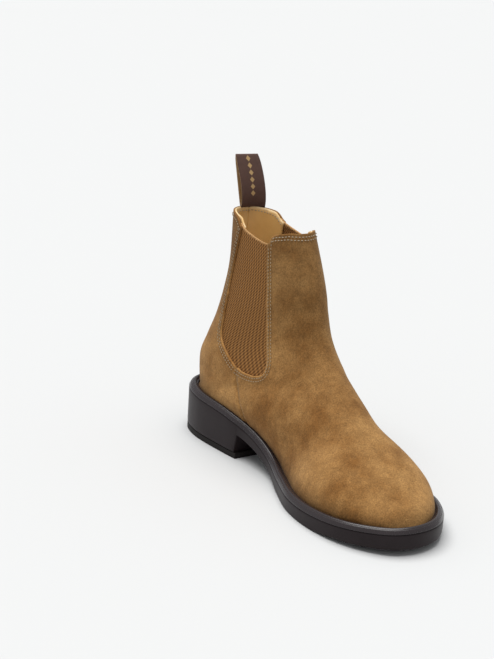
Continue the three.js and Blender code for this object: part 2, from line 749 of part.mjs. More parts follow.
// The welt's cross-section: distance in from the sole's edge, height above the upper's foot.
function welt() {
  const section = [
    [0, 0],
    [0, 0.5],
    [0.3 * WELT_LEDGE, WELT_THICKNESS * 0.8],
    [0.5 * WELT_LEDGE, WELT_THICKNESS * 0.93],
    [0.75 * WELT_LEDGE, WELT_THICKNESS * 1.1],
    [EDGE + 1, WELT_THICKNESS],
    [EDGE + 1, 0],
  ];
  const loops = section.map(([inset]) => outline(inset, 56));
  const rings = loops[0].map((_, i) =>
    section.map(([, h], k) => {
      const [s, x] = loops[k][i];
      return new THREE.Vector3(x, Y_HEEL - s, footing(s) + h);
    }),
  );
  const band = manifold(loft(rings, { closed: true }));
  add("welt", largest(band.subtract(lastSolid(-2 * CLEARANCE, 8))), "#2a2120", 0.35);
}

panels();
gores();
linings();
stiffeners();
pullLoop();
bottomPieces();
welt();
topPiece();

export default group;
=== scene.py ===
import math

import bmesh
import bpy
import numpy as np
from mathutils import Matrix, Vector
from mathutils.geometry import delaunay_2d_cdt


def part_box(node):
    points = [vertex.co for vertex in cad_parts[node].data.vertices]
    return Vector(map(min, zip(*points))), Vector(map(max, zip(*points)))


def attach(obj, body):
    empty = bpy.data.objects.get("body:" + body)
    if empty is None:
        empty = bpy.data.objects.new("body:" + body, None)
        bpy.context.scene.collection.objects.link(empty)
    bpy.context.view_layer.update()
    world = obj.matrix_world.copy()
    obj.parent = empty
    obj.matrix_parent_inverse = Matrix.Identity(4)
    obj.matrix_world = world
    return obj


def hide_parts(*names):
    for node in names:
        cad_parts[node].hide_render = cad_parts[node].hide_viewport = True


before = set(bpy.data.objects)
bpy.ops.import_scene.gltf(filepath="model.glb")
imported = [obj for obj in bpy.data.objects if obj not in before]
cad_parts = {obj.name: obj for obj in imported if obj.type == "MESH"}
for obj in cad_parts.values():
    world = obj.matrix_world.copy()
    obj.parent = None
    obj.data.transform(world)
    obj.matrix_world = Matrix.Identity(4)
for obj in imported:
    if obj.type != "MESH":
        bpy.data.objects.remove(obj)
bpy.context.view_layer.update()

# ---- Sole unit ----
# One moulding of dark brown rubber with the heel block in it. Its wall is satin, with a fine
# groove under the welt. The upper and its welt are cemented on top.
SOLE_LENGTH = 302.0
SOLE_WIDTH = 108.0
SEAT_HEIGHT = 41.0
FORE_HEIGHT = 15.2
TOE_SPRING = 6.4
WELT_THICKNESS = 4.2
HEEL_LENGTH = 92.0
TOP_PIECE_THICKNESS = 4.7
Y_HEEL = SOLE_LENGTH / 2
# Shares of length from the heel, and of half the width, the inner side negative
OUTLINE = np.array([
    (0, -0.03), (0.035, 0.42), (0.115, 0.65), (0.25, 0.66), (0.37, 0.635), (0.497, 0.76),
    (0.63, 0.95), (0.735, 1), (0.835, 0.91), (0.92, 0.66), (0.98, 0.31), (1, -0.09),
    (0.982, -0.47), (0.922, -0.76), (0.842, -0.94), (0.742, -0.99), (0.645, -0.92),
    (0.547, -0.72), (0.45, -0.535), (0.35, -0.53), (0.255, -0.59), (0.12, -0.62), (0.033, -0.45),
])
DROP = [(0, 1), (0.13, 0.91), (0.25, 0.815), (0.365, 0.55), (0.48, 0.11), (0.58, 0), (1, 0)]
TREAD = [
    (0.3, 0.7), (0.35, 0.68), (0.4, 0.62), (0.46, 0.44), (0.52, 0.18), (0.575, 0), (0.76, 0),
    (0.84, 0.2), (0.92, 0.26), (1, 0.3),
]


def through(knots, x):
    """A smooth curve through knots (x, y)."""
    xs, ys = np.array(knots, float).T
    n = len(xs)
    before = np.maximum(np.arange(n) - 1, 0)
    after = np.minimum(np.arange(n) + 1, n - 1)
    slope = (ys[after] - ys[before]) / (xs[after] - xs[before])
    x = np.clip(x, xs[0], xs[-1])
    i = np.clip(np.searchsorted(xs, x) - 1, 0, n - 2)
    h = xs[i + 1] - xs[i]
    t = (x - xs[i]) / h
    return (
        (2 * t**3 - 3 * t**2 + 1) * ys[i]
        + (t**3 - 2 * t**2 + t) * h * slope[i]
        + (3 * t**2 - 2 * t**3) * ys[i + 1]
        + (t**3 - t**2) * h * slope[i + 1]
    )


def footing(s):
    """Height of the sole unit's top edge at s from the heel."""
    a = np.clip(np.asarray(s, float) / SOLE_LENGTH, 0, 1)
    spring = TOE_SPRING * np.clip((a - 0.66) / 0.34, 0, 1) ** 1.6
    top = FORE_HEIGHT + (SEAT_HEIGHT - FORE_HEIGHT) * through(DROP, a) + spring
    return top - WELT_THICKNESS


def spun(points, count, closed):
    """A Catmull-Rom curve through points, as count points."""
    m = len(points) if closed else len(points) - 1
    t = np.linspace(0, m, count, endpoint=not closed)
    i = np.minimum(np.floor(t).astype(int), m - 1)
    w = (t - i)[:, None]
    pick = (lambda k: points[k % len(points)]) if closed else (lambda k: points[np.clip(k, 0, m)])
    p0, p1, p2, p3 = pick(i - 1), pick(i), pick(i + 1), pick(i + 2)
    return 0.5 * (
        2 * p1
        + (p2 - p0) * w
        + (2 * p0 - 5 * p1 + 4 * p2 - p3) * w**2
        + (3 * p1 - p0 - 3 * p2 + p3) * w**3
    )


SOLE_RING = spun(OUTLINE * (SOLE_LENGTH, SOLE_WIDTH / 2), 1200, True)


def moved(points, by):
    """A closed curve moved off to the right of the way it runs."""
    t = np.roll(points, -1, 0) - np.roll(points, 1, 0)
    t /= np.linalg.norm(t, axis=1)[:, None]
    return points + np.stack([t[:, 1], -t[:, 0]], 1) * by


def sides_of(inset):
    """Outer and inner side of the outline, moved in, as rows (s, x), with its first and last s."""
    ring = moved(SOLE_RING, inset)
    ring = np.roll(ring, -ring[:, 0].argmin(), 0)
    toe = ring[:, 0].argmax()
    inner = np.vstack([ring[toe:], ring[:1]])[::-1]
    return ring[: toe + 1], inner, ring[0, 0], ring[toe, 0]


def grid_mesh(nx, ny, place):
    """A sheet of nx by ny cells, laid where place(u, v) says, with u and v from 0 to 1."""
    bm = bmesh.new()
    bmesh.ops.create_grid(bm, x_segments=nx, y_segments=ny, size=0.5)
    flat = np.array([v.co[:2] for v in bm.verts]) + 0.5
    for v, p in zip(bm.verts, place(flat[:, 0], flat[:, 1]) * 0.001):
        v.co = p
    return bm


def joined(bm, part):
    """Adds one bmesh to another."""
    made = bpy.data.meshes.new("part")
    part.to_mesh(made)
    part.free()
    bm.from_mesh(made)
    bpy.data.meshes.remove(made)


def store(obj, label, values):
    """Stores a value for each of an object's vertices."""
    layer = obj.data.attributes.new(label, "FLOAT", "POINT")
    layer.data.foreach_set("value", np.asarray(values, np.float32))


def piece(name, bm, body="boot", finish=None, smooth=True):
    """Turns a bmesh into an object of the boot that shows the given finish."""
    bmesh.ops.remove_doubles(bm, verts=bm.verts, dist=1e-5)
    bmesh.ops.recalc_face_normals(bm, faces=bm.faces)
    mesh = bpy.data.meshes.new(name)
    bm.to_mesh(mesh)
    bm.free()
    if smooth:
        mesh.shade_smooth()
    else:
        mesh.shade_flat()
    obj = bpy.data.objects.new(name, mesh)
    bpy.context.collection.objects.link(obj)
    if finish:
        mesh.materials.append(finish)
    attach(obj, body)
    return obj


def round_sole(rows, under, nx=300):
    """A wall swept round the sole from rows of (inset, height at s), with a floor if under."""
    share = (1 - np.cos(np.linspace(0, np.pi, nx // 2 + 1))) / 2
    breast = HEEL_LENGTH / SOLE_LENGTH
    share = np.sort(np.concatenate([share, [breast - 1e-4, breast + 1e-4]]))
    walls = []
    for inset, height in rows:
        outer, inner, first, last = sides_of(inset)
        s = first + (last - first) * share
        xo = np.interp(s, outer[:, 0], outer[:, 1])
        xi = np.interp(s, inner[:, 0], inner[:, 1])
        ring_s = np.concatenate([s, s[::-1]])
        ring_x = np.concatenate([xi, xo[::-1]])
        walls.append(np.stack([ring_x, Y_HEEL - ring_s, height(ring_s)], 1))
    walls = np.array(walls)
    n = walls.shape[1]

    def wall(u, v):
        return walls[np.rint(v * (len(rows) - 1)).astype(int), np.rint(u * (n - 1)).astype(int)]

    bm = grid_mesh(n - 1, len(rows) - 1, wall)
    if under:
        last_row = walls[-1]
        half = n // 2

        def floor(u, v):
            i = np.rint(u * (half - 1)).astype(int)
            a, b = last_row[i], last_row[n - 1 - i]
            return a + (b - a) * v[:, None]

        joined(bm, grid_mesh(half - 1, 8, floor))
    return bm


def add_node(tree, kind, inputs=None, **settings):
    """A shader node with its settings and unlinked inputs given by name."""
    node = tree.nodes.new(kind)
    for key, value in settings.items():
        setattr(node, key, value)
    for key, value in (inputs or {}).items():
        node.inputs[key].default_value = value
    return node


def new_group(name, inputs, outputs):
    """An empty shader node group with its sockets; gives the tree, its inputs and outputs."""
    tree = bpy.data.node_groups.new(name, "ShaderNodeTree")
    for label, kind, value in inputs:
        socket = tree.interface.new_socket(label, in_out="INPUT", socket_type="NodeSocket" + kind)
        socket.default_value = value
    for label, kind in outputs:
        tree.interface.new_socket(label, in_out="OUTPUT", socket_type="NodeSocket" + kind)
    return tree, tree.nodes.new("NodeGroupInput"), tree.nodes.new("NodeGroupOutput")


def object_space(tree):
    return add_node(tree, "ShaderNodeTexCoord").outputs["Object"]


def stored(tree, label):
    """A value stored in the mesh."""
    return add_node(tree, "ShaderNodeAttribute", attribute_name=label).outputs["Fac"]


def sheet_axes(tree, label):
    """Where a point lies across and down its sheet, in metres."""
    uv = add_node(tree, "ShaderNodeUVMap", uv_map=label)
    split = add_node(tree, "ShaderNodeSeparateXYZ")
    tree.links.new(uv.outputs["UV"], split.inputs[0])
    return split.outputs["X"], split.outputs["Y"]


def maths(tree, operation, *values, clamp=False):
    """A math node on numbers or outputs."""
    node = add_node(tree, "ShaderNodeMath", operation=operation, use_clamp=clamp)
    for k, value in enumerate(values):
        if isinstance(value, (int, float)):
            node.inputs[k].default_value = value
        else:
            tree.links.new(value, node.inputs[k])
    return node.outputs[0]


def noise(tree, scale, detail, roughness=0.5, vector=None):
    sizes = {"Scale": scale, "Detail": detail, "Roughness": roughness}
    node = add_node(tree, "ShaderNodeTexNoise", sizes)
    tree.links.new(vector or object_space(tree), node.inputs["Vector"])
    return node.outputs["Fac"]


def remapped(tree, value, low, high, to_low=0.0, to_high=1.0):
    """A value from one range brought to another and held inside it."""
    ends = {"From Min": low, "From Max": high, "To Min": to_low, "To Max": to_high}
    node = add_node(tree, "ShaderNodeMapRange", ends)
    tree.links.new(value, node.inputs["Value"])
    return node.outputs["Result"]


def blended(tree, factor, under, colour):
    """A colour laid over another by a factor."""
    mix = add_node(tree, "ShaderNodeMix", {7: (*colour, 1)}, data_type="RGBA")
    tree.links.new(factor, mix.inputs["Factor"])
    tree.links.new(under, mix.inputs[6])
    return mix.outputs[2]


def mottle_group():
    """Soft blotches between two colours, in object space."""
    tree, given, result = new_group(
        "Mottle",
        [("Dark", "Color", (0, 0, 0, 1)), ("Light", "Color", (1, 1, 1, 1)),
         ("Scale", "Float", 30.0), ("Contrast", "Float", 1.0)],
        [("Color", "Color")],
    )
    link = tree.links.new
    cloud = add_node(tree, "ShaderNodeTexNoise", {"Detail": 5.0, "Roughness": 0.6})
    link(object_space(tree), cloud.inputs["Vector"])
    link(given.outputs["Scale"], cloud.inputs["Scale"])
    centred = maths(tree, "SUBTRACT", cloud.outputs["Fac"], 0.5)
    scaled = maths(tree, "MULTIPLY_ADD", centred, given.outputs["Contrast"], 0.5, clamp=True)
    mix = add_node(tree, "ShaderNodeMix", data_type="RGBA")
    link(scaled, mix.inputs["Factor"])
    link(given.outputs["Dark"], mix.inputs[6])
    link(given.outputs["Light"], mix.inputs[7])
    link(mix.outputs[2], result.inputs["Color"])
    return tree


MOTTLE = mottle_group()


def finish_of(name, roughness, **sockets):
    """A material with one Principled shader; gives the material, its tree and the shader."""
    material = bpy.data.materials.new(name)
    material.use_nodes = True
    tree = material.node_tree
    shader = tree.nodes["Principled BSDF"]
    shader.inputs["Roughness"].default_value = roughness
    for key, value in sockets.items():
        shader.inputs[key.replace("_", " ")].default_value = value
    return material, tree, shader


def mottled(tree, dark, light, scale, contrast):
    """Places the Mottle group in a material and gives its colour."""
    group = add_node(tree, "ShaderNodeGroup", node_tree=MOTTLE)
    group.inputs["Dark"].default_value = (*dark, 1)
    group.inputs["Light"].default_value = (*light, 1)
    group.inputs["Scale"].default_value = scale
    group.inputs["Contrast"].default_value = contrast
    return group.outputs["Color"]


def bumped(tree, shader, height, distance, strength=1.0):
    """Feeds a height into the shader's normal."""
    bump = add_node(tree, "ShaderNodeBump", {"Strength": strength, "Distance": distance})
    tree.links.new(height, bump.inputs["Height"])
    tree.links.new(bump.outputs["Normal"], shader.inputs["Normal"])


def rubber(name, dark, light, roughness, grain, gloss=0.14):
    material, tree, shader = finish_of(name, roughness, Specular_IOR_Level=gloss)
    tree.links.new(mottled(tree, dark, light, 60.0, 1.4), shader.inputs["Base Color"])
    fine = noise(tree, 900.0, 3.0)
    wear = remapped(tree, fine, 0.0, 1.0, roughness - 0.07, roughness + 0.1)
    tree.links.new(wear, shader.inputs["Roughness"])
    bumped(tree, shader, fine, grain, 0.6)
    return material


SOLE_RUBBER = rubber("sole_rubber", (0.0165, 0.0115, 0.0125), (0.0245, 0.0175, 0.0190),
                     0.40, 0.00006)


def tread_at(s):
    s = np.asarray(s, float)
    front = np.maximum(s, HEEL_LENGTH)
    high = np.maximum(0, through(TREAD, front / SOLE_LENGTH)) * footing(front)
    return np.where(s < HEEL_LENGTH, TOP_PIECE_THICKNESS + 0.3, high)


def wall_rows():
    """The sole's wall from under the welt down to the tread, with a groove near the top."""
    rows = [(3.0, lambda s: footing(s) - 0.1), (0.5, lambda s: footing(s) - 0.1),
            (0.45, lambda s: footing(s) - 0.45), (0.08, lambda s: footing(s) - 0.7),
            (0.0, lambda s: footing(s) - 1.1)]
    for share in (0.25, 0.5, 0.75, 0.9):
        rows.append((0.25 * share, lambda s, a=share: footing(s) * (1 - a) + tread_at(s) * a))
    rows.append((0.35, lambda s: tread_at(s) + 0.45))
    rows.append((0.7, lambda s: tread_at(s) + 0.1))
    rows.append((1.2, lambda s: tread_at(s)))
    return rows


sole_unit = piece("sole_unit_rubber", round_sole(wall_rows(), True),
                  finish=SOLE_RUBBER)
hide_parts("sole_unit")

# ---- Heel top piece ----
# A separate wear layer of harder rubber, cemented under the heel block; a thin line shows
# where the two meet.
TOP_PIECE_RUBBER = rubber("top_piece_rubber", (0.010, 0.0085, 0.008), (0.018, 0.015, 0.014),
                          0.55, 0.0001)


def top_piece():
    """The heel's part of the outline as a plate with broken edges."""
    outer, inner, first, _ = sides_of(0.3)
    share = np.linspace(0, 1, 60) ** 1.6
    s = first + (HEEL_LENGTH - first) * share
    xo = np.interp(s, outer[:, 0], outer[:, 1])
    xi = np.interp(s, inner[:, 0], inner[:, 1])
    ring = np.concatenate([np.stack([xi, Y_HEEL - s], 1), np.stack([xo, Y_HEEL - s], 1)[:0:-1]])
    bm = bmesh.new()
    verts = [bm.verts.new((x * 0.001, y * 0.001, 0)) for x, y in ring]
    base = bm.faces.new(verts)
    made = bmesh.ops.extrude_face_region(bm, geom=[base])
    lifted = [g for g in made["geom"] if isinstance(g, bmesh.types.BMVert)]
    bmesh.ops.translate(bm, verts=lifted, vec=(0, 0, TOP_PIECE_THICKNESS * 0.001))
    rims = [e for e in bm.edges if abs(e.verts[0].co.z - e.verts[1].co.z) < 1e-6]
    bmesh.ops.bevel(bm, geom=rims, offset=0.00035, offset_type="OFFSET", segments=2, profile=0.5,
                    affect="EDGES", material=-1)
    return bm


heel_top = piece("heel_top_piece_rubber", top_piece(),
                 finish=TOP_PIECE_RUBBER, smooth=False)
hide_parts("heel_top_piece")

# ---- Welt ----
# A rubber band round the foot of the upper: a polished chamfer outside, a rounded bead, and a
# dark groove where the upper meets it.
WELT_RUBBER = rubber("welt_rubber", (0.020, 0.0145, 0.0155), (0.030, 0.0220, 0.0240),
                     0.24, 0.00003, 0.5)
WELT_PROFILE = [
    (7.6, 0.2), (2.0, 0.1), (0.25, 0.1), (0.0, 0.35), (0.05, 0.6), (0.5, 1.45), (1.0, 2.35),
    (1.45, 3.1), (1.6, 3.28), (1.85, 3.2), (2.05, 3.32), (2.3, 3.7), (2.8, 4.15), (3.4, 4.4),
    (4.1, 4.5), (4.8, 4.38), (5.4, 4.02), (5.8, 3.5), (6.1, 3.1), (7.4, 2.9),
]


def welt_rows():
    return [(inset, lambda s, h=h: footing(s) + h) for inset, h in WELT_PROFILE]


welt = piece("welt_band", round_sole(welt_rows(), False), finish=WELT_RUBBER)
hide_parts("welt")

# ---- Inner bottom ----
# Ground cork fills the space round the steel shank. A fibre insole board covers them, with two
# rivets through the shank and five nails through the heel seat.


def plain(name, colour, roughness, metallic=0.0, grain=0.0001, scale=700.0, contrast=1.2):
    material, tree, shader = finish_of(name, roughness, Metallic=metallic)
    dark = [c * 0.72 for c in colour]
    light = [min(1.0, c * 1.15) for c in colour]
    tree.links.new(mottled(tree, dark, light, 140.0, contrast), shader.inputs["Base Color"])
    bumped(tree, shader, noise(tree, scale, 4.0), grain)
    return material


def dress(node, material):
    """Gives a CAD node its finish."""
    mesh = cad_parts[node].data
    mesh.materials.clear()
    mesh.materials.append(material)


CORK = plain("cork", (0.34, 0.20, 0.10), 0.95, grain=0.0006, scale=420.0, contrast=3.5)
BOARD = plain("insole_board", (0.50, 0.36, 0.22), 0.85)
STEEL = plain("nail_steel", (0.55, 0.55, 0.57), 0.35, metallic=1.0, grain=0.00002, scale=1500.0)
BRASS = plain("rivet_brass", (0.62, 0.45, 0.20), 0.35, metallic=1.0, grain=0.00002, scale=1500.0)
STIFFENER_BOARD = plain("stiffener_board", (0.52, 0.42, 0.27), 0.85)
dress("bottom_filler", CORK)
dress("insole_board", BOARD)
dress("shank", STEEL)
for number in range(1, 6):
    dress(f"heel_nail_{number}", STEEL)
for number in (1, 2):
    dress(f"shank_rivet_{number}", BRASS)
for name in ("toe_puff", "heel_counter"):
    dress(name, STIFFENER_BOARD)

# ---- Heel pad and sock liner ----
# A thin latex pad lies under the heel, and a calf sock is pasted over it and the insole board
# along the whole foot.
CLEARANCE = 0.4
FILLER = 2.6
INSOLE = 2.5
SOCK = 1.2
HEEL_PAD = 1.5
HEEL_PAD_LENGTH = 70.0
SOCK_INSET = 12.4
BED_HEIGHT = FILLER + CLEARANCE + INSOLE + CLEARANCE


def calf(name, dark, light, roughness):
    material, tree, shader = finish_of(name, roughness, Coat_Weight=0.08, Coat_Roughness=0.4)
    hide = mottled(tree, dark, light, 45.0, 2.0)
    cut = blended(tree, stored(tree, "rim"), hide, (0.90, 0.68, 0.38))
    tree.links.new(cut, shader.inputs["Base Color"])
    pores = add_node(tree, "ShaderNodeTexVoronoi", {"Scale": 1100.0})
    tree.links.new(object_space(tree), pores.inputs["Vector"])
    creases = noise(tree, 260.0, 6.0, 0.65)
    height = maths(tree, "MULTIPLY_ADD", pores.outputs["Distance"], 0.4, creases)
    bumped(tree, shader, height, 0.00025, 0.6)
    return material


CALF = calf("lining_leather", (0.69, 0.385, 0.115), (0.83, 0.505, 0.175), 0.5)


def bed(first, last, height, nx=100):
    """A sheet over the foot bed between two lengths."""
    outer, inner, start, end = sides_of(SOCK_INSET)
    first, last = max(first, start + 0.2), min(last, end - 0.2)

    def place(u, v):
        s = first + (last - first) * (1 - np.cos(np.pi * u)) / 2
        a = np.interp(s, inner[:, 0], inner[:, 1])
        b = np.interp(s, outer[:, 0], outer[:, 1])
        return np.stack([a + (b - a) * v, Y_HEEL - s, height(s)], 1)

    return grid_mesh(nx, 24, place)


def thickened(obj, thickness):
    """Gives a sheet its thickness below its outer side."""
    solid = obj.modifiers.new("thickness", "SOLIDIFY")
    solid.thickness = thickness * 0.001
    solid.offset = -1.0
    return obj


def sock_top(s):
    over = np.clip((s - HEEL_PAD_LENGTH - 4) / 24, 0, 1)
    ease = 1 - over * over * (3 - 2 * over)
    return footing(s) + BED_HEIGHT + ease * (HEEL_PAD + CLEARANCE) + SOCK


def sheet_piece(name, bm, finish):
    """A bed sheet as an object whose faces look up."""
    obj = piece(name, bm, finish=finish)
    if sum(p.normal.z for p in obj.data.polygons) < 0:
        obj.data.flip_normals()
    return obj


FOAM = plain("foam", (0.60, 0.54, 0.36), 0.95)
pad = sheet_piece(
    "heel_pad_foam",
    bed(0, HEEL_PAD_LENGTH, lambda s: footing(s) + BED_HEIGHT + HEEL_PAD, 50),
    FOAM)
thickened(pad, HEEL_PAD)
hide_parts("heel_pad")
sock = sheet_piece("sock_liner_calf", bed(0, SOLE_LENGTH, sock_top), CALF)
thickened(sock, SOCK)
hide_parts("sock_liner")

# ---- Lining ----
# Smooth tan calf in three panels, closed at the heel and down each side, with its cut edge
# level with the suede's. All upper layers are drawn over one last, which starts here.
WELT_LEDGE = 6.0
EDGE = WELT_LEDGE + 1.0
COLLAR_HEIGHT = 186.0
SHAFT_LEAN = 15.5
INSTEP_LEAN = 12.5
SEAM_TOP = SHAFT_LEAN + 5.0
SUEDE = 1.4
LINING = 1.0
GORE_DEPTH = 1.8
LINING_OUT = 4.4
ANKLE_BEND = 0.509
FRONT = [
    (0.3387, 1.055), (0.35, 1.007), (0.417, 0.724), (0.435, 0.6), (0.46, 0.476), (0.509, 0.372),
    (0.589, 0.2725), (0.652, 0.207), (0.745, 0.117), (0.828, 0.045), (0.894, -0.031),
    (0.947, -0.093),
]
BACK = [
    (0.038, 1.055), (0.043, 0.979), (0.066, 0.752), (0.0645, 0.579), (0.0495, 0.407),
    (0.022, 0.255), (0.002, 0.131),
]
COLLAR = [
    (-0.2, 0.995), (0, 0.995), (0.1, 0.995), (0.128, 0.984), (0.154, 0.952), (0.215, 0.931),
    (0.277, 0.924), (0.287, 0.962), (0.298, 0.983), (0.321, 0.997), (0.351, 1.007), (0.5, 1.01),
]
GORE_BACK = [
    (0.162, 1.1), (0.157, 0.955), (0.152, 0.815), (0.147, 0.669), (0.151, 0.537),
    (0.1575, 0.415), (0.165, 0.344), (0.183, 0.302), (0.218, 0.254), (0.257, 0.2185),
]
GORE_FRONT = [
    (0.257, 0.2185), (0.29, 0.2115), (0.3205, 0.2145), (0.3434, 0.2245), (0.364, 0.252),
    (0.364, 0.31), (0.3475, 0.4), (0.332, 0.53), (0.3125, 0.688), (0.29, 0.838),
    (0.2775, 0.927), (0.255, 1.1),
]
SIDE_SEAM = [(0.257, 0.2185), (0.2765, 0.129), (0.305, 0.053), (0.325, -0.04), (0.34, -0.3)]
WIDTHS = [
    (0, 0.395), (0.175, 0.465), (0.35, 0.535), (0.5, 0.585), (0.6, 0.575), (0.7, 0.575),
    (0.8, 0.575), (0.875, 0.565), (0.95, 0.44), (1, 0),
]


def side_curve(shares, count=600, closing=None):
    """A side-view curve (s, z), with how far along it each point lies."""
    points = [(s * SOLE_LENGTH, SEAT_HEIGHT + h * (COLLAR_HEIGHT - SEAT_HEIGHT)) for s, h in shares]
    curve = spun(np.array(points + ([closing] if closing else [])), count, False)
    along = np.r_[0, np.cumsum(np.linalg.norm(np.diff(curve, axis=0), axis=1))]
    return curve, along / along[-1]


feather = sides_of(EDGE)
front_curve = side_curve(FRONT, 1200, (feather[3], float(footing(feather[3]))))
back_curve = side_curve(BACK, 900, (feather[2], float(footing(feather[2]))))
bend = front_curve[1][np.abs(front_curve[0][:, 0] - ANKLE_BEND * SOLE_LENGTH).argmin()]
TOPS = [(0, 0), (0.25, bend / 2), (0.5, bend), (0.75, bend + (1 - bend) * 0.3),
        (0.875, bend + (1 - bend) * 0.58), (1, 1)]


def on_curve(curve, share, depth, turn):
    """Points of a side-view curve, moved in by a depth."""
    points, along = curve
    tangent = np.gradient(points, axis=0)
    tangent /= np.linalg.norm(tangent, axis=1)[:, None]
    s, z = (np.interp(share, along, points[:, k]) for k in (0, 1))
    ts, tz = (np.interp(share, along, tangent[:, k]) for k in (0, 1))
    return np.stack([s + tz * turn * depth, z - ts * turn * depth], 1)


LAST_STEPS = 481


def last_rings(depth):
    """The last's rings at a depth: each row's values for u from the collar, 0, to the toe, 1."""
    u = np.linspace(0, 1, LAST_STEPS)
    outer, inner, first, last = sides_of(EDGE + depth)

    def xo(s):
        return np.interp(s, outer[:, 0], outer[:, 1])

    def xi(s):
        return np.interp(s, inner[:, 0], inner[:, 1])

    v = np.maximum(0, 2 * u - 1)
    s = first + (last - first) * (1 - (1 - v * v) ** 1.7)
    toe_x = (xo(last) + xi(last)) / 2
    shaft = u <= 0.5
    foot = np.where(shaft[:, None], on_curve(back_curve, np.minimum(1, 2 * u), depth, -1),
                    np.stack([s, footing(s)], 1))
    start_x = (xo(first) + xi(first)) / 2
    low = np.where(shaft, SHAFT_LEAN + (start_x - SHAFT_LEAN) * 2 * u, (xo(s) + xi(s)) / 2)
    instep_x = INSTEP_LEAN * 0.62 + toe_x * 0.1
    high = through([(0, SHAFT_LEAN), (0.25, (SHAFT_LEAN + INSTEP_LEAN) / 2), (0.5, INSTEP_LEAN),
                    (0.75, instep_x), (1, toe_x)], u)
    edge = np.where(shaft, 0, (xo(s) - xi(s)) / 2)
    least = through(WIDTHS, u) * SOLE_WIDTH / 2 - depth
    wide = np.where(u < 1, np.maximum(least, 1), 0)
    half = np.where(shaft, least, (edge**6 + wide**6) ** (1 / 6))
    half = np.maximum(half, 1e-6)
    p = through([(0, 2.4), (0.5, 2.4), (0.75, 2.1), (1, 2.1)], u)
    q = through([(0, 2.1), (0.5, 2.1), (0.75, 2.2), (1, 2.2)], u)
    start = 0.5 * (1 - (1 - np.minimum(1, edge / half) ** q) ** (1 / p))
    top = on_curve(front_curve, through(TOPS, u), depth, 1)
    return np.column_stack([top, foot, low, high, half, p, q, start])


RINGS = {depth: last_rings(depth) for depth in (0.0, GORE_DEPTH, LINING_OUT)}


def on_last(u, side, rise, depth):
    """Points of the last: u down its rings, rise 0 at the foot or back to 1 at the ridge."""
    u, side, rise = np.broadcast_arrays(*(np.asarray(a, float) for a in (u, side, rise)))
    near = max(d for d in RINGS if d <= depth + 1e-6)
    rows = RINGS[near]
    at = np.clip(u, 0, 1) * (LAST_STEPS - 1)
    i = np.minimum(at.astype(int), LAST_STEPS - 2)
    w = (at - i)[:, None]
    ring = rows[i] * (1 - w) + rows[i + 1] * w
    top, foot = ring[:, 0:2], ring[:, 2:4]
    low, high, half, p, q, start = ring[:, 4:].T
    angle = np.arccos(1 - 2 * start)
    full = (1 - np.cos(angle + (np.pi - angle) * rise)) / 2
    f = (full - start) / np.maximum(1e-9, 1 - start)
    bulge = np.maximum(0, 1 - np.abs(2 * full - 1) ** p) ** (1 / q)
    x = low + (high - low) * f * f * (3 - 2 * f) + side * half * bulge
    c = foot + (top - foot) * f[:, None]
    return np.stack([x, Y_HEEL - c[:, 0], c[:, 1]], 1)


def rise_of(f, start):
    full = start + f * (1 - start)
    angle = np.arccos(1 - 2 * start)
    return (np.arccos(np.clip(1 - 2 * full, -1, 1)) - angle) / (np.pi - angle)


def find_on_last(s, z):
    """The ring u and the rise of side-view points."""
    rows = RINGS[0.0]
    top, foot, start = rows[:, 0:2], rows[:, 2:4], rows[:, 9]
    found = []
    for a, b in zip(s, z):
        up = top - foot
        c = up[:, 0] * (b - foot[:, 1]) - up[:, 1] * (a - foot[:, 0])
        i = np.nonzero(c[:-1] * c[1:] <= 0)[0]
        i = i[0] if len(i) else (0 if abs(c[0]) < abs(c[-1]) else LAST_STEPS - 2)
        k = np.clip(c[i] / (c[i] - c[i + 1]), 0, 1)
        t, f0 = (m[i] * (1 - k) + m[i + 1] * k for m in (top, foot))
        share = np.clip(np.dot((a - f0[0], b - f0[1]), t - f0) / np.dot(t - f0, t - f0), 0, 1)
        rise = rise_of(share, start[i] * (1 - k) + start[i + 1] * k)
        found.append(((i + k) / (LAST_STEPS - 1), rise))
    return np.array(found)


def resampled(points, step):
    """A path's points at an even step."""
    points = np.asarray(points, float)
    along = np.r_[0, np.cumsum(np.linalg.norm(np.diff(points, axis=0), axis=1))]
    want = np.linspace(0, along[-1], max(2, int(round(along[-1] / step)) + 1))
    return np.stack([np.interp(want, along, points[:, k]) for k in range(points.shape[1])], 1)


def path_distance(points, path):
    """How far each point lies from a path's nearest point."""
    near = np.full(len(points), 1e9)
    for corner in path:
        near = np.minimum(near, np.linalg.norm(points - corner, axis=1))
    return near


collar = side_curve(COLLAR)[0]
gore_back = side_curve(GORE_BACK)[0]
gore_front = side_curve(GORE_FRONT)[0]
side_seam = side_curve(SIDE_SEAM)[0]


def below_collar(points):
    """The part of a side-view curve under the collar line."""
    return points[points[:, 1] <= np.interp(points[:, 0], collar[:, 0], collar[:, 1])]


def collar_between(s0, s1, count=60):
    s = np.linspace(s0, s1, count)
    return np.stack([s, np.interp(s, collar[:, 0], collar[:, 1])], 1)


def collar_end(curve, s_first):
    """Where the collar line meets the last's front or back, as s."""
    z = np.interp(s_first, collar[:, 0], collar[:, 1])
    order = curve[0][:, 1].argsort()
    return float(np.interp(z, curve[0][order, 1], curve[0][order, 0]))


FRONT_TOP = collar_end(front_curve, 105)
BACK_TOP = collar_end(back_curve, 12)
seam_on_last = find_on_last(*side_seam.T)
seam_foot = int(np.argmax(seam_on_last[:, 1] <= 1e-4)) or len(side_seam) - 1
U_SEAM = float(seam_on_last[seam_foot, 0])

# Pattern space: across from the ridge or from the back, and down the rings
ACROSS = 120.0
DOWN = 300.0


def pattern(points, side, from_back):
    """Side-view points as a pattern's points, across and down."""
    u, rise = find_on_last(*np.asarray(points).T).T
    across = side * (rise if from_back else 1 - rise)
    return np.stack([across * ACROSS, u * DOWN], 1)


